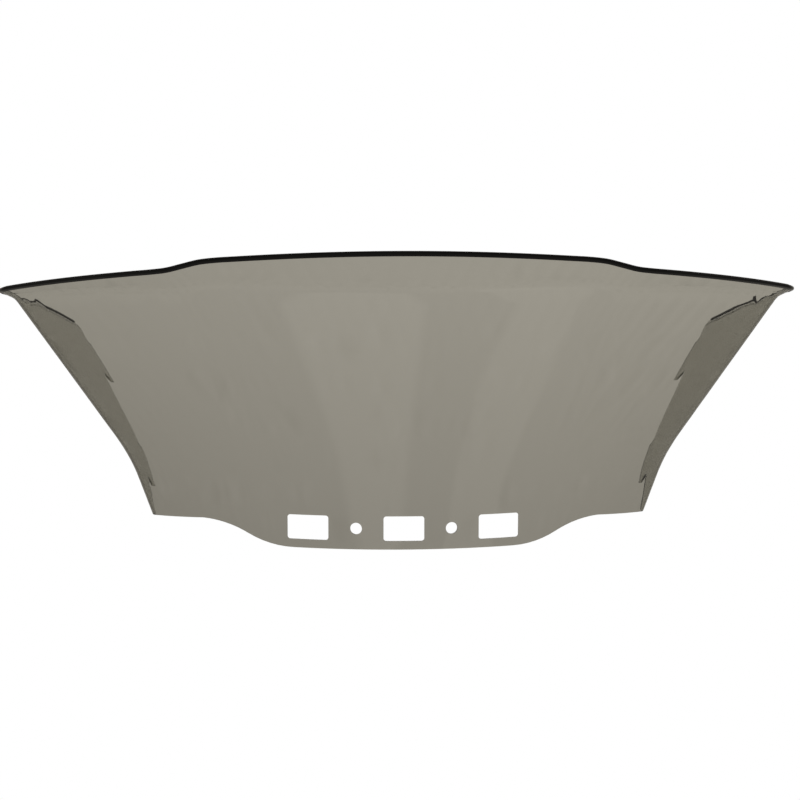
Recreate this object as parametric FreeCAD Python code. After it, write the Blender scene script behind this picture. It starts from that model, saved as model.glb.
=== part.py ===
"""Windshield screen: one formed sheet with a pressed-on edge trim.

The screen is worked out in its mounting position, with the bottom mounting strip upright, the front facing -Y
and +Z up. At the end everything is leaned back until it stands by itself on the bottom strip and the two rear
lower corners. All sizes are in millimetres.
"""
import FreeCAD, Part
import math
import os

Vec = FreeCAD.Vector

# --- the sheet -------------------------------------------------------------------------------------------
SHEET_T = 2.4            # thickness of the polycarbonate
MIDDLE_H = 300.0         # height of the top edge at the middle
BOTTOM_HALF_W = 263.5    # half width between the folds at the rear lower corners
KNEE_HALF_W = 286.5      # half width where the sides start to spread faster
KNEE_H = 80.0            # height of that change of slope
KNEE_BLEND = 22.0        # half the height over which the slope changes
TOP_HALF_W = 406.0       # half width between the folds at the crease
TOP_CORNER_H = 248.0     # height at which the folds are that wide
SAG = 118.0              # how far the folds lie behind the middle of the front
FOLD_R = 18.0            # outside radius of the fold between front and wing
WING_TOE_IN = 12.0       # angle by which the wings lean in towards the rear, degrees

# --- the flared lip along the top ------------------------------------------------------------------------
EDGE_FALL = 29.0         # how far the top edge drops from the middle to the folds
EDGE_STEP = 7.0          # extra drop at each shoulder
SHOULDER_AT = 207.0      # distance of the shoulder from the middle, along the sheet
SHOULDER_RUN = 58.0      # length of the shoulder
WING_FALL = 45.0         # drop of the crease along the wing
LIP_MIDDLE = 41.0        # width of the lip at the middle
LIP_TIP = 17.0           # width of the lip at the folds
LIP_REAR = 12.0          # width of the lip at the rear of the wings
FLARE_MIDDLE = 25.0      # outward angle of the lip at the middle, degrees
FLARE_TIP = 30.0         # the same at the folds
FLARE_REAR = 12.0        # the same at the rear of the wings
CREASE_R = 14.0          # bend radius between panel and lip

# --- the bottom edge -------------------------------------------------------------------------------------
STRIP_HALF_W = 112.0     # half width of the straight mounting strip
STRIP_DROP = 23.5        # how far the strip hangs below the edge on either side of it
SWEEP_RUN = 93.0         # width of the S-shaped rise beside the strip
CORNER_RISE = 18.0       # height of the rear lower corners above the strip's edge

# --- holes and slots in the mounting strip ----------------------------------------------------------------
HOLE_PITCH = 48.5        # from each slot to the next hole
HOLE_R = 6.0
ROW_H = 21.3             # height of the row above the strip's edge
SLOT_W = 41.3
SLOT_H = 25.4
SLOT_CORNER_R = 2.8
SLOT_COUNT = 3
HOLE_COUNT = 2

# --- the free edge of each wing, with its hooks ------------------------------------------------------------
WING_DEPTH = 127.0       # depth of the wing behind the fold, at the top
WING_REAR_H = 210.0      # height of the top edge at the rear of the wing
WING_FOOT = 9.0          # depth of the wing at the bottom corner
HOOK_TIPS_AT = (35.5, 159.5)   # along the free edge, measured from the bottom corner
HOOK_LENGTH = 43.0
HOOK_REACH = 15.5        # how far a tip stands out from the edge
HOOK_STEP = 4.5          # how far a hook stands out where it starts
HOOK_UNDERCUT = 7.5      # how far the notch runs in behind the tip
HOOK_TIP_R = 1.8
HOOK_ROOT_R = 1.2
HOOK_SHOULDER_R = 2.5

# --- the edge trim ----------------------------------------------------------------------------------------
TRIM_WALL = 0.8          # thickness of each leg
TRIM_CLEARANCE = 0.05    # between the sheet and the inside of the trim
TRIM_GRIP = 3.0          # how far the legs reach down the sheet
TRIM_SETBACK = 0.6       # from the wing's free edge to the end of the trim

# --- how finely the curved surfaces are laid out -----------------------------------------------------------
FRONT_STATIONS = 24
FOLD_STATIONS = 10
PANEL_ROWS = 16
CREASE_ROWS = 5
BELOW_EDGE = 14.0        # the blank reaches this far past the edges that are cut from it
WING_BLANK = 24.0
CUT_REACH = 700.0        # long enough to pass right through the blank

MIDDLE_RAD = math.radians(FLARE_MIDDLE)
TOE_RAD = math.radians(WING_TOE_IN)
PANEL_END, CREASE_END, LIP_END = 1.0, 2.0, 3.0
FRONT_END, FOLD_END, WING_END = 1.0, 2.0, 3.0


def ease(t):
    """A smooth step from 0 to 1."""
    t = min(max(t, 0.0), 1.0)
    return t * t * (3.0 - 2.0 * t)


def half_width(z):
    """Half the distance between the two fold corners at height z."""
    lower = (KNEE_HALF_W - BOTTOM_HALF_W) / (KNEE_H - CORNER_RISE)
    upper = (TOP_HALF_W - KNEE_HALF_W) / (TOP_CORNER_H - KNEE_H)
    above = z - KNEE_H
    if above <= -KNEE_BLEND:
        bend = 0.0
    elif above >= KNEE_BLEND:
        bend = above
    else:
        bend = (above + KNEE_BLEND) ** 2 / (4.0 * KNEE_BLEND)
    return KNEE_HALF_W + lower * above + (upper - lower) * bend


class Section:
    """The outside of the sheet at one height: front arc, fold and straight wing, for the +X side."""

    def __init__(self, z):
        self.z = z
        width = half_width(z)
        self.front_r = (width ** 2 + SAG ** 2) / (2.0 * SAG)
        inward = (-math.cos(TOE_RAD), -math.sin(TOE_RAD))
        self.back = (-math.sin(TOE_RAD), math.cos(TOE_RAD))
        px = width + FOLD_R * inward[0]
        py = SAG + FOLD_R * inward[1] - self.front_r
        along = px * self.back[0] + py * self.back[1]
        gap = px * px + py * py - (self.front_r - FOLD_R) ** 2
        t = -along - math.sqrt(along * along - gap)
        self.fold_x = px + t * self.back[0]
        self.fold_y = py + t * self.back[1] + self.front_r
        self.front_angle = math.atan2(self.fold_x, self.front_r - self.fold_y)
        self.wing_x = width + t * self.back[0]
        self.wing_y = SAG + t * self.back[1]
        rear = SAG + WING_DEPTH + WING_BLANK
        self.wing_len = (rear - self.wing_y) / math.cos(TOE_RAD)

    def point(self, q):
        """Point at station q: 0 to 1 is the front, 1 to 2 the fold, 2 to 3 the wing."""
        if q <= FRONT_END:
            a = q * self.front_angle
            return Vec(self.front_r * math.sin(a), self.front_r * (1.0 - math.cos(a)), self.z)
        if q <= FOLD_END:
            start = self.front_angle - math.pi / 2
            a = start + (q - FRONT_END) * (TOE_RAD - start)
            return Vec(self.fold_x + FOLD_R * math.cos(a), self.fold_y + FOLD_R * math.sin(a), self.z)
        run = (q - FOLD_END) * self.wing_len
        return Vec(self.wing_x + run * self.back[0], self.wing_y + run * self.back[1], self.z)


CREST = Section(TOP_CORNER_H)
FRONT_LEN = CREST.front_r * CREST.front_angle
FOLD_LEN = FOLD_R * (TOE_RAD - CREST.front_angle + math.pi / 2)


def girth(q):
    """Distance along the sheet from the middle to station q, at the crease."""
    if q <= FRONT_END:
        return q * FRONT_LEN
    if q <= FOLD_END:
        return FRONT_LEN + (q - FRONT_END) * FOLD_LEN
    return FRONT_LEN + FOLD_LEN + (q - FOLD_END) * CREST.wing_len


def wing_share(q):
    """0 at the fold, 1 at the rear of the wing."""
    corner = FRONT_LEN + FOLD_LEN / 2
    return max(girth(q) - corner, 0.0) / (WING_DEPTH / math.cos(TOE_RAD))


def lip_width(q):
    front = LIP_TIP + (LIP_MIDDLE - LIP_TIP) * math.cos(math.pi / 2 * min(girth(q) / FRONT_LEN, 1.0)) ** 2
    return front + (LIP_REAR - LIP_TIP) * ease(wing_share(q))


def flare(q):
    front = FLARE_MIDDLE + (FLARE_TIP - FLARE_MIDDLE) * ease(girth(q) / FRONT_LEN)
    return math.radians(front + (FLARE_REAR - FLARE_TIP) * ease(wing_share(q)))


def crease_height(q):
    """Height of the crease between panel and lip."""
    s = girth(q)
    corner = FRONT_LEN + FOLD_LEN / 2
    shoulder = ease((s - SHOULDER_AT + SHOULDER_RUN / 2) / SHOULDER_RUN)
    edge = MIDDLE_H - EDGE_FALL * (min(s, corner) / corner) ** 2 - EDGE_STEP * shoulder
    front_lip = LIP_TIP + (LIP_MIDDLE - LIP_TIP) * math.cos(math.pi / 2 * min(s / FRONT_LEN, 1.0)) ** 2
    share = wing_share(q)
    return edge - front_lip * math.cos(MIDDLE_RAD) - WING_FALL * (0.55 * share + 0.45 * share * share)


def panel_point(q, z):
    return Section(z).point(q)


def outside_point(q, v):
    """Point on the outside of the sheet: v is 0 to 1 up the panel, 1 to 2 round the crease, 2 to 3 up the lip."""
    bend = flare(q)
    top = crease_height(q) - CREASE_R * math.tan(bend / 2)
    if v <= PANEL_END:
        return panel_point(q, -BELOW_EDGE + v * (top + BELOW_EDGE))
    up, out = directions(q, top)
    start = panel_point(q, top)
    turned = bend * min(v - PANEL_END, 1.0)
    rise = CREASE_R * math.sin(turned)
    push = CREASE_R * (1.0 - math.cos(turned))
    if v > CREASE_END:
        run = (v - CREASE_END) * (lip_width(q) - CREASE_R * math.tan(bend / 2))
        rise += run * math.cos(bend)
        push += run * math.sin(bend)
    return start + up * rise + out * push


def directions(q, z):
    """Unit vectors up the sheet and straight out of it, on the panel."""
    step = 0.05
    up = panel_point(q, z + step) - panel_point(q, z - step)
    side = panel_point(min(q + 1e-4, WING_END), z) - panel_point(max(q - 1e-4, 0.0), z)
    out = side.cross(up)
    return up.normalize(), out.normalize()


def outward(q, v):
    """Unit normal of the outside surface, pointing away from the rider."""
    dq, dv = 1e-4, 1e-3
    side = outside_point(min(q + dq, WING_END), v) - outside_point(max(q - dq, 0.0), v)
    up = outside_point(q, min(v + dv, LIP_END)) - outside_point(q, max(v - dv, 0.0))
    if q == 0.0:
        side = Vec(side.x, 0.0, 0.0)
    return side.cross(up).normalize()


def stations():
    """Stations from the middle to the rear of the +X wing, closer together beside the fold."""
    front = [i / FRONT_STATIONS for i in range(FRONT_STATIONS)]
    near = [1.0 - share / FRONT_STATIONS for share in (0.6, 0.3, 0.12)]
    fold = [FRONT_END + i / FOLD_STATIONS for i in range(FOLD_STATIONS + 1)]
    wing = [FOLD_END + share for share in (0.015, 0.04, 0.08, 0.15, 0.25, 0.4, 0.6, 0.8, 1.0)]
    return front + near + fold + wing


def levels():
    """Levels from below the bottom edge to the edge of the lip, closer together beside the crease."""
    panel = [i / PANEL_ROWS for i in range(PANEL_ROWS)]
    near = [1.0 - share / PANEL_ROWS for share in (0.5, 0.2, 0.07)]
    crease = [PANEL_END + i / CREASE_ROWS for i in range(CREASE_ROWS + 1)]
    lip = [CREASE_END + share for share in (0.08, 0.2, 0.4, 0.7, 1.0)]
    return panel + near + crease + lip


def climb(v):
    """Nominal distance up the sheet to level v, which spaces the levels of the surface."""
    lip = (LIP_MIDDLE + LIP_TIP) / 2
    panel = TOP_CORNER_H + BELOW_EDGE
    crease = CREASE_R * MIDDLE_RAD
    return (min(v, PANEL_END) * panel + min(max(v - PANEL_END, 0.0), 1.0) * crease
            + max(v - CREASE_END, 0.0) * lip)


def both_sides(right):
    """Mirror a row of points, middle first, to run from the -X end to the +X end."""
    left = [Vec(-p.x, p.y, p.z) for p in reversed(right[1:])]
    return left + right


def spline(points, marks):
    curve = Part.BSplineCurve()
    curve.interpolate(Points=points, Parameters=marks)
    return curve


def skin(depth):
    """Smooth surface that lies depth inside the outside of the sheet."""
    across = [girth(q) for q in stations()]
    across = [-s for s in reversed(across[1:])] + across
    upward = [climb(v) for v in levels()]
    rows = []
    for v in levels():
        right = [outside_point(q, v) - outward(q, v) * depth for q in stations()]
        right[0].x = 0.0
        row = spline(both_sides(right), across)
        rows.append(row.getPoles())
    columns = [spline(list(poles), upward) for poles in zip(*rows)]
    grid = [list(line) for line in zip(*[column.getPoles() for column in columns])]
    surface = Part.BSplineSurface()
    surface.buildFromPolesMultsKnots(
        grid, columns[0].getMultiplicities(), row.getMultiplicities(),
        columns[0].getKnots(), row.getKnots(), False, False, columns[0].Degree, row.Degree)
    return surface


def blank():
    """The formed sheet before its edges and holes are cut."""
    outer, inner = skin(0.0), skin(SHEET_T)
    u0, u1, v0, v1 = outer.bounds()
    borders = [(s.uIso(u0), s.uIso(u1), s.vIso(v0), s.vIso(v1)) for s in (outer, inner)]
    rim = [Part.makeRuledSurface(a.toShape(), b.toShape()) for a, b in zip(*borders)]
    sewn = Part.Compound([outer.toShape(), inner.toShape()] + rim)
    sewn.sewShape()
    solid = Part.Solid(sewn.Shells[0])
    return solid if solid.Volume > 0 else solid.reversed()


def rounded_outline(corners, lift):
    """Closed wire through corners (a, b, radius), each rounded by a tangent arc; lift turns a, b into a point."""
    edges = []
    ends = []
    count = len(corners)
    for i, (a, b, radius) in enumerate(corners):
        here = lift(a, b)
        before = lift(*corners[i - 1][:2])
        after = lift(*corners[(i + 1) % count][:2])
        if radius == 0.0:
            ends.append((here, here, None))
            continue
        back = (before - here).normalize()
        ahead = (after - here).normalize()
        half = back.getAngle(ahead) / 2
        cut = radius / math.tan(half)
        middle = (back + ahead).normalize() * (radius / math.sin(half) - radius)
        ends.append((here + back * cut, here + ahead * cut, here + middle))
    for i, (first, last, middle) in enumerate(ends):
        if middle is not None:
            edges.append(Part.Arc(first, middle, last).toShape())
        following = ends[(i + 1) % count][0]
        if (following - last).Length > 1e-6:
            edges.append(Part.LineSegment(last, following).toShape())
    return Part.Wire(edges)


def extrude(wire, direction):
    return Part.Face(wire).extrude(direction)


def below_bottom_edge():
    """What is cut away under the screen: the straight strip, an S on each side and the raised outer edge."""
    sweep_r = (SWEEP_RUN ** 2 + STRIP_DROP ** 2) / (4.0 * STRIP_DROP)
    turn = math.asin(SWEEP_RUN / (2.0 * sweep_r))
    first = STRIP_HALF_W
    last = STRIP_HALF_W + SWEEP_RUN
    middle = (first + last) / 2
    sag_a = sweep_r * (1.0 - math.cos(turn / 2))
    step_a = sweep_r * math.sin(turn / 2)
    reach = 2.0 * TOP_HALF_W
    outer_slope = (CORNER_RISE - STRIP_DROP) / (BOTTOM_HALF_W - last)
    y = -CUT_REACH / 2

    def at(x, z):
        return Vec(x, y, z)

    half = [
        Part.Arc(at(first, 0), at(first + step_a, sag_a), at(middle, STRIP_DROP / 2)).toShape(),
        Part.Arc(at(middle, STRIP_DROP / 2), at(last - step_a, STRIP_DROP - sag_a), at(last, STRIP_DROP)).toShape(),
        Part.LineSegment(at(last, STRIP_DROP), at(reach, STRIP_DROP + outer_slope * (reach - last))).toShape(),
    ]
    mirrored = [e.mirror(Vec(0, 0, 0), Vec(1, 0, 0)) for e in half]
    low = -CUT_REACH / 2
    end = at(reach, STRIP_DROP + outer_slope * (reach - last))
    frame = [
        Part.LineSegment(at(-first, 0), at(first, 0)).toShape(),
        Part.LineSegment(end, at(reach, low)).toShape(),
        Part.LineSegment(at(reach, low), at(-reach, low)).toShape(),
        Part.LineSegment(at(-reach, low), Vec(-end.x, end.y, end.z)).toShape(),
    ]
    wire = Part.Wire(Part.__sortEdges__(half + mirrored + frame))
    return extrude(wire, Vec(0, 2 * CUT_REACH, 0))


def wing_edge_frame():
    """Foot of the wing's free edge, unit vector up along it and unit vector out of it, all in (y, z)."""
    foot = (SAG + WING_FOOT, CORNER_RISE)
    run = WING_DEPTH - WING_FOOT
    rise = WING_REAR_H - CORNER_RISE
    length = math.hypot(run, rise)
    return foot, (run / length, rise / length), (rise / length, -run / length)


def wing_edge_point(along, out):
    foot, up, away = wing_edge_frame()
    return foot[0] + along * up[0] + out * away[0], foot[1] + along * up[1] + out * away[1]


def wing_edge_height(y):
    """Height on the straight line of the free edge at depth y."""
    foot, up, _ = wing_edge_frame()
    return foot[1] + (y - foot[0]) * up[1] / up[0]


def behind_wing_edge():
    """What is cut away behind the wings: a straight slanting edge with a barbed hook for each tip position."""
    corners = [(*wing_edge_point(-60.0, 0.0), 0.0)]
    for tip in HOOK_TIPS_AT:
        corners.append((*wing_edge_point(tip + HOOK_UNDERCUT, 0.0), HOOK_ROOT_R))
        corners.append((*wing_edge_point(tip, HOOK_REACH), HOOK_TIP_R))
        corners.append((*wing_edge_point(tip + HOOK_LENGTH, HOOK_STEP), HOOK_SHOULDER_R))
        corners.append((*wing_edge_point(tip + HOOK_LENGTH + HOOK_STEP / 2, 0.0), HOOK_SHOULDER_R))
    top = wing_edge_point(CUT_REACH, 0.0)
    corners.append((*top, 0.0))
    corners.append((top[0] + CUT_REACH, top[1], 0.0))
    corners.append((top[0] + CUT_REACH, -CUT_REACH, 0.0))
    corners.append((wing_edge_point(-60.0, 0.0)[0], -CUT_REACH, 0.0))
    wire = rounded_outline(corners, lambda y, z: Vec(-CUT_REACH, y, z))
    return extrude(wire, Vec(2 * CUT_REACH, 0, 0))


def slot_cutter(x):
    left, right = x - SLOT_W / 2, x + SLOT_W / 2
    low, high = ROW_H - SLOT_H / 2, ROW_H + SLOT_H / 2
    corners = [(left, low, SLOT_CORNER_R), (right, low, SLOT_CORNER_R),
               (right, high, SLOT_CORNER_R), (left, high, SLOT_CORNER_R)]
    wire = rounded_outline(corners, lambda a, b: Vec(a, -SAG, b))
    return extrude(wire, Vec(0, 2 * SAG, 0))


def hole_cutter(x):
    """Cylinder square to the sheet, at x along the row."""
    radius = Section(ROW_H).front_r
    out = Vec(x, -math.sqrt(radius ** 2 - x * x), 0) / radius
    start = Vec(0, radius, ROW_H) + out * (radius + SAG)
    return Part.makeCylinder(HOLE_R, 2 * SAG, start, -out)


def row_places(count):
    """Places of every second item in the row of slots and holes, about the middle."""
    return [2 * HOLE_PITCH * (i - (count - 1) / 2) for i in range(count)]


def windshield_screen():
    cutters = [below_bottom_edge(), behind_wing_edge()]
    cutters += [slot_cutter(x) for x in row_places(SLOT_COUNT)]
    cutters += [hole_cutter(x) for x in row_places(HOLE_COUNT)]
    return blank().cut(cutters)


def trim_end_station():
    """Station at which the lip's edge meets the wing's free edge, less the trim's setback."""
    low, high = FOLD_END, WING_END
    for _ in range(50):
        q = (low + high) / 2
        p = outside_point(q, LIP_END)
        if p.z > wing_edge_height(p.y + TRIM_SETBACK):
            low = q
        else:
            high = q
    return low


def trim_section(q, mirrored):
    """Closed U-shaped wire astride the sheet's edge at station q."""
    out = outward(q, LIP_END)
    edge = outside_point(q, LIP_END)
    up = (edge - outside_point(q, LIP_END - 0.05)).normalize()
    middle = edge - out * (SHEET_T / 2)
    inside = SHEET_T / 2 + TRIM_CLEARANCE
    outside = inside + TRIM_WALL

    def at(a, b):
        p = middle + out * a + up * b
        return Vec(-p.x, p.y, p.z) if mirrored else p

    crown = [at(outside, TRIM_CLEARANCE), at(0, TRIM_CLEARANCE + outside), at(-outside, TRIM_CLEARANCE)]
    corners = [at(-outside, TRIM_CLEARANCE), at(-outside, -TRIM_GRIP), at(-inside, -TRIM_GRIP),
               at(-inside, TRIM_CLEARANCE), at(inside, TRIM_CLEARANCE), at(inside, -TRIM_GRIP),
               at(outside, -TRIM_GRIP), at(outside, TRIM_CLEARANCE)]
    edges = [Part.Arc(*crown).toShape()]
    edges += [Part.LineSegment(a, b).toShape() for a, b in zip(corners, corners[1:])]
    return Part.Wire(edges)


def edge_trim():
    last = trim_end_station()
    right = [q for q in stations() if q < last - 0.01] + [last]
    sections = [trim_section(q, True) for q in reversed(right[1:])]
    sections += [trim_section(q, False) for q in right]
    return Part.makeLoft(sections, True, False)


def lean_angle():
    """Angle that brings the strip's lower corners and the rear lower corners to one level, in degrees."""
    strip = Section(0.0)
    strip_y = strip.front_r - math.sqrt(strip.front_r ** 2 - STRIP_HALF_W ** 2) + SHEET_T
    return math.degrees(math.atan2(CORNER_RISE, SAG + WING_FOOT - strip_y))


def stand(shapes):
    """Lean the shapes back to stand by themselves, with the origin under the middle of their common box."""
    leaned = {}
    for name, shape in shapes.items():
        copy = shape.copy()
        copy.rotate(Vec(0, 0, 0), Vec(1, 0, 0), -lean_angle())
        leaned[name] = copy
    points = [p for shape in leaned.values() for p in shape.tessellate(0.05)[0]]
    low = min(p.z for p in points)
    middle = (min(p.y for p in points) + max(p.y for p in points)) / 2
    for shape in leaned.values():
        shape.translate(Vec(0, -middle, -low))
    return leaned, middle, low


def main():
    os.makedirs("parts", exist_ok=True)
    shapes = {"windshield_screen": windshield_screen(), "edge_trim": edge_trim()}
    standing, middle, low = stand(shapes)
    for name, shape in standing.items():
        shape.exportStep(f"parts/{name}.step")
        print(name, "valid", shape.isValid(), "solids", len(shape.Solids), "volume", round(shape.Volume))
    print("lean", round(lean_angle(), 3), "shift y", round(-middle, 3), "z", round(-low, 3))


main()
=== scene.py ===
import math

import bmesh
import bpy
import numpy as np
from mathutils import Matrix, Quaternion, Vector


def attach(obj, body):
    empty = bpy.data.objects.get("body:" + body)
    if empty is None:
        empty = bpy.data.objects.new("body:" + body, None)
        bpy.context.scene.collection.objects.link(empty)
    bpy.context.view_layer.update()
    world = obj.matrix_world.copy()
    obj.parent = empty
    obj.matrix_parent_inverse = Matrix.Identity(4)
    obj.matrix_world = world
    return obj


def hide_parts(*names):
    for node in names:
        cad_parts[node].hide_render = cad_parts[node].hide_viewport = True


SHEET_NODE = "windshield_screen"
TRIM_NODE = "edge_trim"

# --- the sheet, in metres, in its mounting position with the mounting strip upright -------------------------
SHEET_T = 0.0024         # thickness of the polycarbonate
MIDDLE_H = 0.300         # height of the top edge at the middle
BOTTOM_HALF_W = 0.2635   # half width between the folds at the rear lower corners
KNEE_HALF_W = 0.2865     # half width where the sides start to spread faster
KNEE_H = 0.080           # height of that change of slope
KNEE_BLEND = 0.022       # half the height over which the slope changes
TOP_HALF_W = 0.406       # half width between the folds at the crease
TOP_CORNER_H = 0.248     # height at which the folds are that wide
SAG = 0.118              # how far the folds lie behind the middle of the front
FOLD_R = 0.018           # outside radius of the fold between front and wing
TOE_IN = math.radians(12.0)         # by which the wings lean in towards the rear
STRIP_HALF_W = 0.112     # half width of the straight mounting strip
CORNER_RISE = 0.018      # height of the rear lower corners above the strip's edge

# --- the flared lip along the top ---------------------------------------------------------------------------
EDGE_FALL = 0.029        # how far the top edge drops from the middle to the folds
EDGE_STEP = 0.007        # extra drop at each shoulder
SHOULDER_AT = 0.207      # distance of the shoulder from the middle, along the sheet
SHOULDER_RUN = 0.058     # length of the shoulder
LIP_MIDDLE = 0.041       # width of the lip at the middle
LIP_TIP = 0.017          # width of the lip at the folds
LIP_REAR = 0.012         # width of the lip at the rear of the wings
FLARE_MIDDLE = math.radians(25.0)   # outward angle of the lip at the middle
FLARE_TIP = math.radians(30.0)      # the same at the folds
FLARE_REAR = math.radians(12.0)     # the same at the rear of the wings
CREASE_R = 0.014         # bend radius between panel and lip

# --- the wings ----------------------------------------------------------------------------------------------
WING_DEPTH = 0.127       # depth of the wing behind the fold, at the top
WING_REAR_H = 0.210      # height of the top edge at the rear of the wing
WING_FOOT = 0.009        # depth of the wing at the bottom corner
WING_BLANK = 0.024       # the wing's blank reaches this far past its rear edge
WING_FALL = 0.045        # drop of the crease along the wing
EVEN_FALL = 0.55         # share of that drop that is even, the rest growing towards the rear

# --- the push-on trim ---------------------------------------------------------------------------------------
TRIM_WALL = 0.0008       # thickness of each leg
TRIM_CLEARANCE = 0.00005  # between the sheet and the inside of the trim
TRIM_GRIP = 0.003        # how far the legs reach down the sheet
TRIM_SETBACK = 0.0006    # from the wing's free edge to the end of the trim
CROWN_SINK = 0.00004     # by which the crown is lower than a half round
CROWN_STEPS = 14         # straight pieces round the crown
FOOT_CHAMFER = 0.0003    # on the foot of each leg
END_DRAW_IN = 0.3        # share of the last span by which each end is drawn in
SWEEP_STEP = 0.003       # length of one step of the swept strip

# --- stations along the lip: 0 to 1 is the front, 1 to 2 the fold, 2 to 3 the wing --------------------------
FRONT_END, FOLD_END, WING_END = 1.0, 2.0, 3.0
FRONT_STATIONS = 24
FOLD_STATIONS = 10
NEAR_FOLD = (0.6, 0.3, 0.12)        # extra stations before the fold, in front spans
WING_STATIONS = (0.015, 0.04, 0.08, 0.15, 0.25, 0.4, 0.6, 0.8, 1.0)
LAST_SPAN = 0.01         # the least span before the end of the trim
HALVINGS = 50            # steps in the search for the end of the trim
SMALL_RISE = 0.00005     # height to either side at which a slope is taken
SMALL_SPAN = 1e-4        # part of a station to either side at which a direction is taken

# --- how the screen stands, and how it is shown -------------------------------------------------------------
STANDS_AT = Vector((0.0, -0.139637, 0.003817))      # where the middle of the strip's lower edge stands
SMOOTH_ANGLE = math.radians(35)
WELD = 1e-6              # distance within which the CAD mesh's loose corners are joined
CAMERA_AZIMUTH = math.radians(-2.459)
CAMERA_RISE = math.radians(16.348)
CAMERA_ROLL = math.radians(0.411)
CAMERA_TARGET = Vector((0.0, -0.05695, 0.13174))
CAMERA_DISTANCE = 2.2042
CAMERA_LENS = 96.1165
CAMERA_SHIFT = (-0.0019, 0.00664)
SMOKE_TINT = (0.19, 0.177, 0.077, 1.0)
TINT_DENSITY = 300.0
SHEET_IOR = 1.58
VINYL_BLACK = (0.0012, 0.0012, 0.0012, 1.0)
VINYL_DUSTY = (0.008, 0.008, 0.0075, 1.0)
STUDIO_GREY = (0.548, 0.521, 0.473, 1.0)
BACKDROP_WHITE = (1.0, 1.0, 1.0, 1.0)
REFLECTORS = (           # azimuth, rise, inner and outer radius in degrees, then gain
    (-8, 12, 14, 17, 0.5),
    (-62, 10, 16, 20, 0.7),
    (70, 14, 14, 17, 0.7),
    (25, -8, 9, 11, 0.4),
    (118, 20, 20, 24, 0.9),
    (-120, 25, 18, 24, 0.9),
)

# --- sockets of the Mix node, which share their names and are told apart by number --------------------------
MIX_FACTOR, MIX_FLOAT_A, MIX_FLOAT_B, MIX_COLOUR_A, MIX_COLOUR_B = 0, 2, 3, 6, 7
MIX_FLOAT_OUT, MIX_COLOUR_OUT = 0, 2


def ease(t):
    """A smooth step from 0 to 1."""
    t = min(max(t, 0.0), 1.0)
    return t * t * (3.0 - 2.0 * t)


def unit(vector):
    """The vector made one long."""
    return vector / np.linalg.norm(vector)


def half_width(z):
    """Half the distance between the two fold corners at height z."""
    lower = (KNEE_HALF_W - BOTTOM_HALF_W) / (KNEE_H - CORNER_RISE)
    upper = (TOP_HALF_W - KNEE_HALF_W) / (TOP_CORNER_H - KNEE_H)
    above = z - KNEE_H
    if above <= -KNEE_BLEND:
        bend = 0.0
    elif above >= KNEE_BLEND:
        bend = above
    else:
        bend = (above + KNEE_BLEND) ** 2 / (4.0 * KNEE_BLEND)
    return KNEE_HALF_W + lower * above + (upper - lower) * bend


class Section:
    """The outside of the sheet at one height: front arc, fold and straight wing, for the +X side."""

    def __init__(self, z):
        self.z = z
        width = half_width(z)
        self.front_r = (width ** 2 + SAG ** 2) / (2.0 * SAG)
        self.back = (-math.sin(TOE_IN), math.cos(TOE_IN))
        px = width - FOLD_R * math.cos(TOE_IN)
        py = SAG - FOLD_R * math.sin(TOE_IN) - self.front_r
        along = px * self.back[0] + py * self.back[1]
        gap = px * px + py * py - (self.front_r - FOLD_R) ** 2
        t = -along - math.sqrt(along * along - gap)
        self.fold_x = px + t * self.back[0]
        self.fold_y = py + t * self.back[1] + self.front_r
        self.front_angle = math.atan2(self.fold_x, self.front_r - self.fold_y)
        self.wing_x = width + t * self.back[0]
        self.wing_y = SAG + t * self.back[1]
        rear = SAG + WING_DEPTH + WING_BLANK
        self.wing_len = (rear - self.wing_y) / math.cos(TOE_IN)

    def point(self, q):
        """Point at station q, in double precision."""
        if q <= FRONT_END:
            a = q * self.front_angle
            return np.array((self.front_r * math.sin(a), self.front_r * (1.0 - math.cos(a)), self.z))
        if q <= FOLD_END:
            start = self.front_angle - math.pi / 2
            a = start + (q - FRONT_END) * (TOE_IN - start)
            return np.array((self.fold_x + FOLD_R * math.cos(a), self.fold_y + FOLD_R * math.sin(a), self.z))
        run = (q - FOLD_END) * self.wing_len
        return np.array((self.wing_x + run * self.back[0], self.wing_y + run * self.back[1], self.z))


CREST = Section(TOP_CORNER_H)
FRONT_LEN = CREST.front_r * CREST.front_angle
FOLD_LEN = FOLD_R * (TOE_IN - CREST.front_angle + math.pi / 2)
CORNER_AT = FRONT_LEN + FOLD_LEN / 2


def girth(q):
    """Distance along the sheet from the middle to station q, at the crease."""
    if q <= FRONT_END:
        return q * FRONT_LEN
    if q <= FOLD_END:
        return FRONT_LEN + (q - FRONT_END) * FOLD_LEN
    return FRONT_LEN + FOLD_LEN + (q - FOLD_END) * CREST.wing_len


def wing_share(q):
    """0 at the fold, 1 at the rear of the wing."""
    return max(girth(q) - CORNER_AT, 0.0) / (WING_DEPTH / math.cos(TOE_IN))


def front_lip_width(q):
    """Width of the lip along the front, which narrows from the middle to the folds."""
    return LIP_TIP + (LIP_MIDDLE - LIP_TIP) * math.cos(math.pi / 2 * min(girth(q) / FRONT_LEN, 1.0)) ** 2


def flare(q):
    """Outward angle of the lip."""
    front = FLARE_MIDDLE + (FLARE_TIP - FLARE_MIDDLE) * ease(girth(q) / FRONT_LEN)
    return front + (FLARE_REAR - FLARE_TIP) * ease(wing_share(q))


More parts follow.
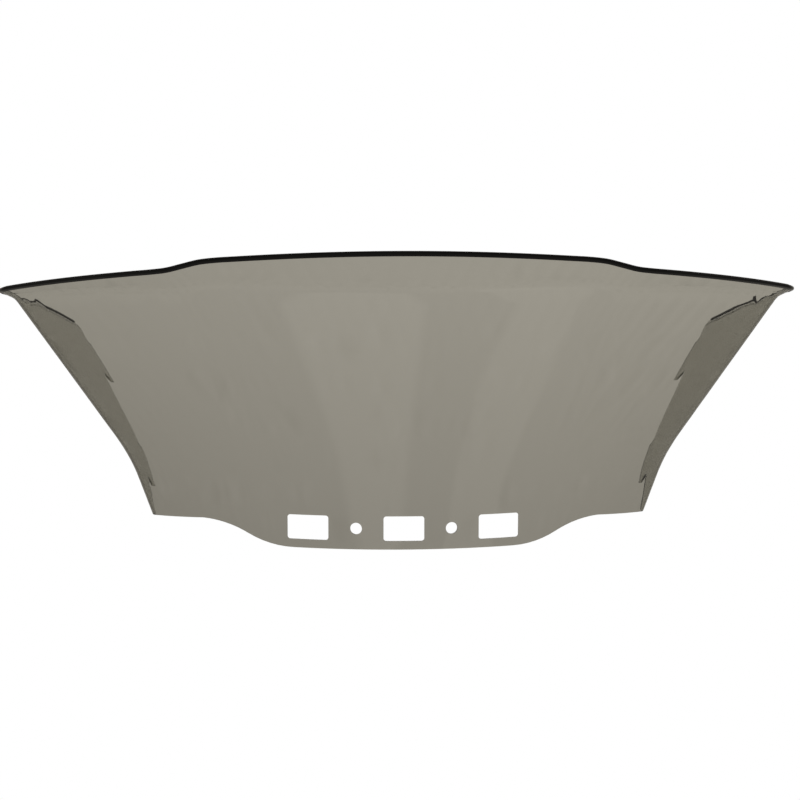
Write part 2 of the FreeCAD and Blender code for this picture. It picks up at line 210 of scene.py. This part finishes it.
def crease_height(q):
    """Height of the crease between panel and lip."""
    s = girth(q)
    shoulder = ease((s - SHOULDER_AT + SHOULDER_RUN / 2) / SHOULDER_RUN)
    edge = MIDDLE_H - EDGE_FALL * (min(s, CORNER_AT) / CORNER_AT) ** 2 - EDGE_STEP * shoulder
    share = wing_share(q)
    fall = WING_FALL * (EVEN_FALL * share + (1.0 - EVEN_FALL) * share * share)
    return edge - front_lip_width(q) * math.cos(FLARE_MIDDLE) - fall


def lip_edge(q):
    """Outer corner of the lip's edge at station q, and the unit vector up the lip there."""
    bend = flare(q)
    inset = CREASE_R * math.tan(bend / 2)
    top = Section(crease_height(q) - inset)
    above, below = Section(top.z + SMALL_RISE), Section(top.z - SMALL_RISE)
    up = unit(above.point(q) - below.point(q))
    side = top.point(min(q + SMALL_SPAN, WING_END)) - top.point(max(q - SMALL_SPAN, 0.0))
    out = unit(np.cross(side, up))
    run = front_lip_width(q) + (LIP_REAR - LIP_TIP) * ease(wing_share(q)) - inset
    rise = CREASE_R * math.sin(bend) + run * math.cos(bend)
    push = CREASE_R * (1.0 - math.cos(bend)) + run * math.sin(bend)
    return top.point(q) + up * rise + out * push, up * math.cos(bend) + out * math.sin(bend)


def lean_angle():
    """Angle that brings the strip's lower corners and the rear lower corners to one level."""
    radius = Section(0.0).front_r
    strip_y = radius - math.sqrt(radius ** 2 - STRIP_HALF_W ** 2) + SHEET_T
    return math.atan2(CORNER_RISE, SAG + WING_FOOT - strip_y)


def leaned(vector):
    """The same vector once the screen is leaned back to stand by itself."""
    x, y, z = vector
    c, s = math.cos(lean_angle()), math.sin(lean_angle())
    return Vector((x, y * c + z * s, z * c - y * s))


def trim_seat(q):
    """Middle of the sheet's top edge at station q, and the way up the sheet there, as the screen stands."""
    edge, up = lip_edge(q)
    side = lip_edge(min(q + SMALL_SPAN, WING_END))[0] - lip_edge(max(q - SMALL_SPAN, 0.0))[0]
    if q == 0.0:
        side = np.array((side[0], 0.0, 0.0))
    out = unit(np.cross(side, up))
    return leaned(edge - out * SHEET_T / 2) + STANDS_AT, leaned(up)


def trim_end_station():
    """Station at which the lip's edge meets the wing's free edge, less the trim's setback."""
    slope = (WING_REAR_H - CORNER_RISE) / (WING_DEPTH - WING_FOOT)
    low, high = FOLD_END, WING_END
    for _ in range(HALVINGS):
        q = (low + high) / 2
        _, y, z = lip_edge(q)[0]
        if z > CORNER_RISE + (y + TRIM_SETBACK - SAG - WING_FOOT) * slope:
            low = q
        else:
            high = q
    return low


def trim_stations():
    """Stations from the middle to the end of the trim on the +X side, closer together beside the fold."""
    front = [i / FRONT_STATIONS for i in range(FRONT_STATIONS)]
    near = [FRONT_END - share / FRONT_STATIONS for share in NEAR_FOLD]
    fold = [FRONT_END + i / FOLD_STATIONS for i in range(FOLD_STATIONS + 1)]
    wing = [FOLD_END + share for share in WING_STATIONS]
    last = trim_end_station()
    return [q for q in front + near + fold + wing if q < last - LAST_SPAN] + [last]


def new_material(name):
    """An empty node material and its tree."""
    mat = bpy.data.materials.new(name)
    mat.use_nodes = True
    mat.node_tree.nodes.clear()
    return mat, mat.node_tree


def add(tree, kind, **values):
    """A node of this kind, with its plain properties set."""
    node = tree.nodes.new(kind)
    for key, value in values.items():
        setattr(node, key, value)
    return node


def surface_wear_group():
    """Shared wear: fine dust, hairlines and forming waviness, as a roughness share and a height."""
    group = bpy.data.node_groups.new("surface_wear", "ShaderNodeTree")
    face = group.interface
    for name in ("Dust Scale", "Dust Amount", "Wave Scale", "Wave Amount"):
        face.new_socket(name, in_out="INPUT", socket_type="NodeSocketFloat")
    face.new_socket("Rough", in_out="OUTPUT", socket_type="NodeSocketFloat")
    face.new_socket("Height", in_out="OUTPUT", socket_type="NodeSocketFloat")
    enter = add(group, "NodeGroupInput")
    leave = add(group, "NodeGroupOutput")
    where = add(group, "ShaderNodeTexCoord")
    dust = add(group, "ShaderNodeTexNoise")
    dust.inputs["Detail"].default_value = 3.0
    specks = add(group, "ShaderNodeMapRange")
    specks.inputs["From Min"].default_value = 0.62
    specks.inputs["From Max"].default_value = 0.78
    hair = add(group, "ShaderNodeTexNoise")
    hair.inputs["Scale"].default_value = 60.0
    hair.inputs["Detail"].default_value = 4.0
    stretch = add(group, "ShaderNodeMapping")
    stretch.inputs["Scale"].default_value = (0.35, 0.6, 9.0)
    stretch.inputs["Rotation"].default_value = (0.0, 0.4, 0.15)
    lines = add(group, "ShaderNodeMapRange")
    lines.inputs["From Min"].default_value = 0.66
    lines.inputs["From Max"].default_value = 0.74
    total = add(group, "ShaderNodeMath", operation="ADD")
    share = add(group, "ShaderNodeMath", operation="MULTIPLY")
    wave = add(group, "ShaderNodeTexNoise")
    wave.inputs["Detail"].default_value = 1.0
    wave_share = add(group, "ShaderNodeMath", operation="MULTIPLY")
    link = group.links.new
    link(where.outputs["Object"], dust.inputs["Vector"])
    link(where.outputs["Object"], stretch.inputs["Vector"])
    link(stretch.outputs["Vector"], hair.inputs["Vector"])
    link(where.outputs["Object"], wave.inputs["Vector"])
    link(enter.outputs["Dust Scale"], dust.inputs["Scale"])
    link(enter.outputs["Wave Scale"], wave.inputs["Scale"])
    link(dust.outputs["Fac"], specks.inputs["Value"])
    link(hair.outputs["Fac"], lines.inputs["Value"])
    link(specks.outputs["Result"], total.inputs[0])
    link(lines.outputs["Result"], total.inputs[1])
    link(total.outputs["Value"], share.inputs[0])
    link(enter.outputs["Dust Amount"], share.inputs[1])
    link(wave.outputs["Fac"], wave_share.inputs[0])
    link(enter.outputs["Wave Amount"], wave_share.inputs[1])
    link(share.outputs["Value"], leave.inputs["Rough"])
    link(wave_share.outputs["Value"], leave.inputs["Height"])
    return group


def wear_node(tree, group, dust_scale, dust_amount, wave_scale, wave_amount):
    """The shared wear, with this material's own values."""
    node = add(tree, "ShaderNodeGroup", node_tree=group)
    node.inputs["Dust Scale"].default_value = dust_scale
    node.inputs["Dust Amount"].default_value = dust_amount
    node.inputs["Wave Scale"].default_value = wave_scale
    node.inputs["Wave Amount"].default_value = wave_amount
    return node


def smoke_material(wear):
    """Smoke tinted polycarbonate: clear surfaces, and the tint in the thickness of the sheet."""
    mat, tree = new_material("smoke_polycarbonate")
    link = tree.links.new
    out = add(tree, "ShaderNodeOutputMaterial")
    body = add(tree, "ShaderNodeBsdfPrincipled")
    body.inputs["Base Color"].default_value = (1.0, 1.0, 1.0, 1.0)
    body.inputs["Metallic"].default_value = 0.0
    body.inputs["Transmission Weight"].default_value = 1.0
    body.inputs["IOR"].default_value = SHEET_IOR
    tint = add(tree, "ShaderNodeVolumeAbsorption")
    tint.inputs["Color"].default_value = SMOKE_TINT
    tint.inputs["Density"].default_value = TINT_DENSITY
    worn = wear_node(tree, wear, dust_scale=500.0, dust_amount=0.01, wave_scale=7.0, wave_amount=1.0)
    rough = add(tree, "ShaderNodeMath", operation="ADD")
    rough.inputs[1].default_value = 0.004
    bump = add(tree, "ShaderNodeBump")
    bump.inputs["Strength"].default_value = 0.25
    bump.inputs["Distance"].default_value = 0.0003
    link(worn.outputs["Rough"], rough.inputs[0])
    link(rough.outputs["Value"], body.inputs["Roughness"])
    link(worn.outputs["Height"], bump.inputs["Height"])
    link(bump.outputs["Normal"], body.inputs["Normal"])
    link(body.outputs["BSDF"], out.inputs["Surface"])
    link(tint.outputs["Volume"], out.inputs["Volume"])
    return mat


def trim_material(wear):
    """Glossy black extruded vinyl."""
    mat, tree = new_material("black_vinyl")
    link = tree.links.new
    out = add(tree, "ShaderNodeOutputMaterial")
    body = add(tree, "ShaderNodeBsdfPrincipled")
    body.inputs["Metallic"].default_value = 0.0
    body.inputs["IOR"].default_value = 1.5
    body.inputs["Specular IOR Level"].default_value = 0.25
    worn = wear_node(tree, wear, dust_scale=1400.0, dust_amount=0.35, wave_scale=40.0, wave_amount=1.0)
    rough = add(tree, "ShaderNodeMath", operation="ADD")
    rough.inputs[1].default_value = 0.22
    shade = add(tree, "ShaderNodeMix", data_type="RGBA")
    shade.inputs[MIX_COLOUR_A].default_value = VINYL_BLACK
    shade.inputs[MIX_COLOUR_B].default_value = VINYL_DUSTY
    bump = add(tree, "ShaderNodeBump")
    bump.inputs["Strength"].default_value = 0.2
    bump.inputs["Distance"].default_value = 0.0004
    link(worn.outputs["Rough"], rough.inputs[0])
    link(worn.outputs["Rough"], shade.inputs[MIX_FACTOR])
    link(shade.outputs[MIX_COLOUR_OUT], body.inputs["Base Color"])
    link(rough.outputs["Value"], body.inputs["Roughness"])
    link(worn.outputs["Height"], bump.inputs["Height"])
    link(bump.outputs["Normal"], body.inputs["Normal"])
    link(body.outputs["BSDF"], out.inputs["Surface"])
    return mat


def smooth_copy(node, name, angle):
    """The CAD node's mesh with its triangles joined and smooth shading inside this angle."""
    mesh = node.data.copy()
    mesh.name = name
    bm = bmesh.new()
    bm.from_mesh(mesh)
    bmesh.ops.remove_doubles(bm, verts=bm.verts, dist=WELD)
    for face in bm.faces:
        face.smooth = True
    for edge in bm.edges:
        edge.smooth = len(edge.link_faces) == 2 and edge.calc_face_angle(0.0) < angle
    bm.to_mesh(mesh)
    bm.free()
    piece = bpy.data.objects.new(name, mesh)
    bpy.context.scene.collection.objects.link(piece)
    return piece


def trim_profile():
    """Outline of the push-on trim: a U with a round crown, open downwards. X is across the sheet, Y up it."""
    inner = SHEET_T / 2 + TRIM_CLEARANCE
    outer = inner + TRIM_WALL
    crown_h = outer - CROWN_SINK
    turns = [math.pi * i / CROWN_STEPS for i in range(CROWN_STEPS + 1)]
    crown = [(outer * math.cos(a), TRIM_CLEARANCE + crown_h * math.sin(a)) for a in turns]
    foot, heel = -TRIM_GRIP, -TRIM_GRIP + FOOT_CHAMFER
    left_leg = [(-outer, heel), (-outer + FOOT_CHAMFER, foot), (-inner - FOOT_CHAMFER, foot), (-inner, heel)]
    right_leg = [(-x, y) for x, y in reversed(left_leg)]
    points = crown + left_leg + [(-inner, TRIM_CLEARANCE), (inner, TRIM_CLEARANCE)] + right_leg
    mesh = bpy.data.meshes.new("trim_profile")
    loop = [(i, (i + 1) % len(points)) for i in range(len(points))]
    mesh.from_pydata([(x, y, 0.0) for x, y in points], loop, [])
    profile = bpy.data.objects.new("trim_profile", mesh)
    bpy.context.scene.collection.objects.link(profile)
    return profile


def sweep_group():
    """Sweeps a profile along an edge, with the profile's Y kept along the stored way up."""
    group = bpy.data.node_groups.new("edge_sweep", "GeometryNodeTree")
    face = group.interface
    face.new_socket("Geometry", in_out="INPUT", socket_type="NodeSocketGeometry")
    face.new_socket("Profile", in_out="INPUT", socket_type="NodeSocketObject")
    face.new_socket("Step", in_out="INPUT", socket_type="NodeSocketFloat")
    face.new_socket("Finish", in_out="INPUT", socket_type="NodeSocketMaterial")
    face.new_socket("Geometry", in_out="OUTPUT", socket_type="NodeSocketGeometry")
    enter, leave = add(group, "NodeGroupInput"), add(group, "NodeGroupOutput")
    line = add(group, "GeometryNodeMeshToCurve")
    spline = add(group, "GeometryNodeCurveSplineType", spline_type="CATMULL_ROM")
    even = add(group, "GeometryNodeResampleCurve", mode="LENGTH")
    way = add(group, "GeometryNodeInputNamedAttribute", data_type="FLOAT_VECTOR")
    way.inputs["Name"].default_value = "across"
    normal = add(group, "GeometryNodeSetCurveNormal", mode="FREE")
    shape = add(group, "GeometryNodeObjectInfo")
    outline = add(group, "GeometryNodeMeshToCurve")
    tube = add(group, "GeometryNodeCurveToMesh")
    tube.inputs["Fill Caps"].default_value = True
    smooth = add(group, "GeometryNodeSetShadeSmooth")
    real = add(group, "GeometryNodeRealizeInstances")
    paint = add(group, "GeometryNodeSetMaterial")
    link = group.links.new
    link(enter.outputs["Geometry"], line.inputs["Mesh"])
    link(line.outputs["Curve"], spline.inputs["Curve"])
    link(spline.outputs["Curve"], even.inputs["Curve"])
    link(enter.outputs["Step"], even.inputs["Length"])
    link(even.outputs["Curve"], normal.inputs["Curve"])
    link(way.outputs["Attribute"], normal.inputs["Normal"])
    link(enter.outputs["Profile"], shape.inputs["Object"])
    link(shape.outputs["Geometry"], outline.inputs["Mesh"])
    link(normal.outputs["Curve"], tube.inputs["Curve"])
    link(outline.outputs["Curve"], tube.inputs["Profile Curve"])
    link(tube.outputs["Mesh"], smooth.inputs["Geometry"])
    link(smooth.outputs["Geometry"], real.inputs["Geometry"])
    link(real.outputs["Geometry"], paint.inputs["Geometry"])
    link(enter.outputs["Finish"], paint.inputs["Material"])
    link(paint.outputs["Geometry"], leave.inputs["Geometry"])
    return group


def swept_trim(material):
    """The push-on trim as one strip along the lip's edge."""
    half = [trim_seat(q) for q in trim_stations()]
    both = [(Vector((-p.x, p.y, p.z)), Vector((-u.x, u.y, u.z))) for p, u in reversed(half[1:])] + half
    first = both[0][0].lerp(both[1][0], END_DRAW_IN)
    last = both[-1][0].lerp(both[-2][0], END_DRAW_IN)
    both = [(first, both[0][1])] + both[1:-1] + [(last, both[-1][1])]
    places = [p for p, _ in both]
    mesh = bpy.data.meshes.new("lip_edge")
    mesh.from_pydata(places, [(i, i + 1) for i in range(len(places) - 1)], [])
    across = mesh.attributes.new("across", "FLOAT_VECTOR", "POINT")
    for i, (_, up) in enumerate(both):
        before, after = places[max(i - 1, 0)], places[min(i + 1, len(places) - 1)]
        across.data[i].vector = up.cross(after - before).normalized()
    path = bpy.data.objects.new("lip_edge", mesh)
    bpy.context.scene.collection.objects.link(path)
    profile = trim_profile()
    group = sweep_group()
    sweep = path.modifiers.new("sweep", "NODES")
    sweep.node_group = group
    values = {"Profile": profile, "Step": SWEEP_STEP, "Finish": material}
    for item in group.interface.items_tree:
        if item.item_type == "SOCKET" and item.in_out == "INPUT" and item.name in values:
            sweep[item.identifier] = values[item.name]
    bpy.context.view_layer.update()
    solid = bpy.data.meshes.new_from_object(path.evaluated_get(bpy.context.evaluated_depsgraph_get()))
    path.modifiers.clear()
    piece = bpy.data.objects.new("push_on_trim", solid)
    bpy.context.scene.collection.objects.link(piece)
    for helper in (path, profile):
        bpy.data.objects.remove(helper)
    return piece


def dress(piece, material):
    """The piece in one material."""
    piece.data.materials.clear()
    piece.data.materials.append(material)


def soft_spot(tree, vector, azimuth, rise, inner, outer, gain):
    """A round reflector with a soft rim: extra strength of the surroundings in one direction, in degrees."""
    a, e = math.radians(azimuth), math.radians(rise)
    aim = add(tree, "ShaderNodeVectorMath", operation="DOT_PRODUCT")
    aim.inputs[1].default_value = (math.sin(a) * math.cos(e), -math.cos(a) * math.cos(e), math.sin(e))
    rim = add(tree, "ShaderNodeMapRange", interpolation_type="SMOOTHSTEP")
    rim.inputs["From Min"].default_value = math.cos(math.radians(outer))
    rim.inputs["From Max"].default_value = math.cos(math.radians(inner))
    rim.inputs["To Max"].default_value = gain
    tree.links.new(vector, aim.inputs[0])
    tree.links.new(aim.outputs["Value"], rim.inputs["Value"])
    return rim.outputs["Result"]


def graded(tree, source, start, end, first, last):
    """A value that goes from first to last while the source goes from start to end."""
    grade = add(tree, "ShaderNodeMapRange")
    for key, value in (("From Min", start), ("From Max", end), ("To Min", first), ("To Max", last)):
        grade.inputs[key].default_value = value
    tree.links.new(source, grade.inputs["Value"])
    return grade.outputs["Result"]


def studio():
    """A clean white backdrop for the camera. The sheet itself sees a warm grey studio with reflectors."""
    world = bpy.data.worlds.new("studio")
    bpy.context.scene.world = world
    world.use_nodes = True
    tree = world.node_tree
    tree.nodes.clear()
    link = tree.links.new
    out = add(tree, "ShaderNodeOutputWorld")
    sky = add(tree, "ShaderNodeBackground")
    sky.inputs["Color"].default_value = STUDIO_GREY
    where = add(tree, "ShaderNodeTexCoord")
    way = where.outputs["Generated"]
    split = add(tree, "ShaderNodeSeparateXYZ")
    link(way, split.inputs["Vector"])
    behind = add(tree, "ShaderNodeMath", operation="ADD")
    upward, sideways = split.outputs["Z"], split.outputs["X"]
    link(graded(tree, upward, start=-0.34, end=-0.22, first=0.81, last=1.06), behind.inputs[0])
    link(graded(tree, sideways, start=-0.15, end=0.1, first=-0.07, last=0.04), behind.inputs[1])
    total = graded(tree, upward, start=-0.9, end=0.1, first=0.7, last=0.4)
    for spot in REFLECTORS:
        gain = add(tree, "ShaderNodeMath", operation="ADD")
        link(total, gain.inputs[0])
        link(soft_spot(tree, way, *spot), gain.inputs[1])
        total = gain.outputs["Value"]
    side = add(tree, "ShaderNodeMapRange", interpolation_type="SMOOTHSTEP")
    side.inputs["From Min"].default_value = -0.05
    side.inputs["From Max"].default_value = 0.55
    link(split.outputs["Y"], side.inputs["Value"])
    pick = add(tree, "ShaderNodeMix", data_type="FLOAT")
    link(side.outputs["Result"], pick.inputs[MIX_FACTOR])
    link(total, pick.inputs[MIX_FLOAT_A])
    link(behind.outputs["Value"], pick.inputs[MIX_FLOAT_B])
    link(pick.outputs[MIX_FLOAT_OUT], sky.inputs["Strength"])
    clean = add(tree, "ShaderNodeBackground")
    clean.inputs["Color"].default_value = BACKDROP_WHITE
    clean.inputs["Strength"].default_value = 1.0
    seen = add(tree, "ShaderNodeLightPath")
    both = add(tree, "ShaderNodeMixShader")
    link(seen.outputs["Is Camera Ray"], both.inputs[0])
    link(sky.outputs["Background"], both.inputs[1])
    link(clean.outputs["Background"], both.inputs[2])
    link(both.outputs["Shader"], out.inputs["Surface"])


def camera():
    """The view from the front, a little above."""
    data = bpy.data.cameras.new("camera")
    cam = bpy.data.objects.new("camera", data)
    bpy.context.scene.collection.objects.link(cam)
    level = math.cos(CAMERA_RISE)
    east, north = math.sin(CAMERA_AZIMUTH) * level, -math.cos(CAMERA_AZIMUTH) * level
    back = Vector((east, north, math.sin(CAMERA_RISE)))
    cam.location = CAMERA_TARGET + back * CAMERA_DISTANCE
    cam.rotation_mode = "QUATERNION"
    cam.rotation_quaternion = (-back).to_track_quat("-Z", "Y") @ Quaternion((0, 0, 1), CAMERA_ROLL)
    data.sensor_width = 36.0
    data.lens = CAMERA_LENS
    data.shift_x, data.shift_y = CAMERA_SHIFT
    data.clip_start, data.clip_end = 0.01, 100.0
    bpy.context.scene.camera = cam


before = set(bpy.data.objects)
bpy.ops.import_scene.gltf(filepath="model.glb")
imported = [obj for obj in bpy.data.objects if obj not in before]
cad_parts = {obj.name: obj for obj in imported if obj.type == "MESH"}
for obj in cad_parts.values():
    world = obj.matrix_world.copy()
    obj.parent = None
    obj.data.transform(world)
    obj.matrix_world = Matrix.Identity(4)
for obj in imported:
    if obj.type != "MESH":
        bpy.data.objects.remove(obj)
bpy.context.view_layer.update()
wear = surface_wear_group()
sheet = smooth_copy(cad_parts[SHEET_NODE], "screen_sheet", SMOOTH_ANGLE)
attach(sheet, "root")
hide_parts(SHEET_NODE)
dress(sheet, smoke_material(wear))
vinyl = trim_material(wear)
trim = swept_trim(vinyl)
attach(trim, "root")
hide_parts(TRIM_NODE)
dress(trim, vinyl)
studio()
bpy.context.scene.view_settings.view_transform = "Standard"
camera()
